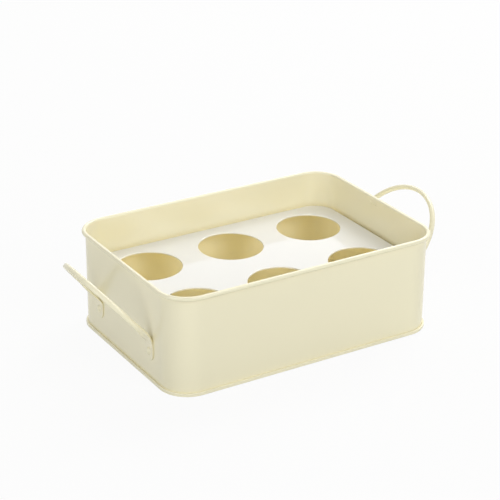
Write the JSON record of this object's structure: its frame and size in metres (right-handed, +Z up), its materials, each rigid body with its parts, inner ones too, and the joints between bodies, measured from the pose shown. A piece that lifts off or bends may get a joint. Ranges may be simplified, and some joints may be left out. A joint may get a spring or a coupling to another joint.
{
  "type": "egg holder",
  "caption": "Open rectangular sheet-metal box with rounded corners, rolled rim and two riveted loop handles, holding a lift-out plate pierced with round holes for eggs.",
  "frame": {"origin": "on the ground under the middle of the box", "axes": "+X along the box from handle to handle, -Y the front long side, +Z up"},
  "size_m": [0.2414, 0.1258, 0.0633],
  "materials": {
    "cream_paint": "semi-gloss cream baked paint",
    "plate_paint": "semi-gloss off-white baked paint",
    "wire_steel": "drawn steel wire, bare"
  },
  "bodies": {
    "box": {"wall_band": "cream_paint", "rim_wire": "wire_steel", "base_pan": "cream_paint", "left_handle": "cream_paint", "right_handle": "cream_paint", "left_front_rivet": "cream_paint", "left_rear_rivet": "cream_paint", "right_front_rivet": "cream_paint", "right_rear_rivet": "cream_paint"},
    "plate": {"egg_plate": "plate_paint"}
  },
  "joints": [
    {"name": "plate_lift", "type": "slide", "parent": "box", "child": "plate", "axis": [0, 0, 1], "range_m": [0, 0.07]}
  ]
}
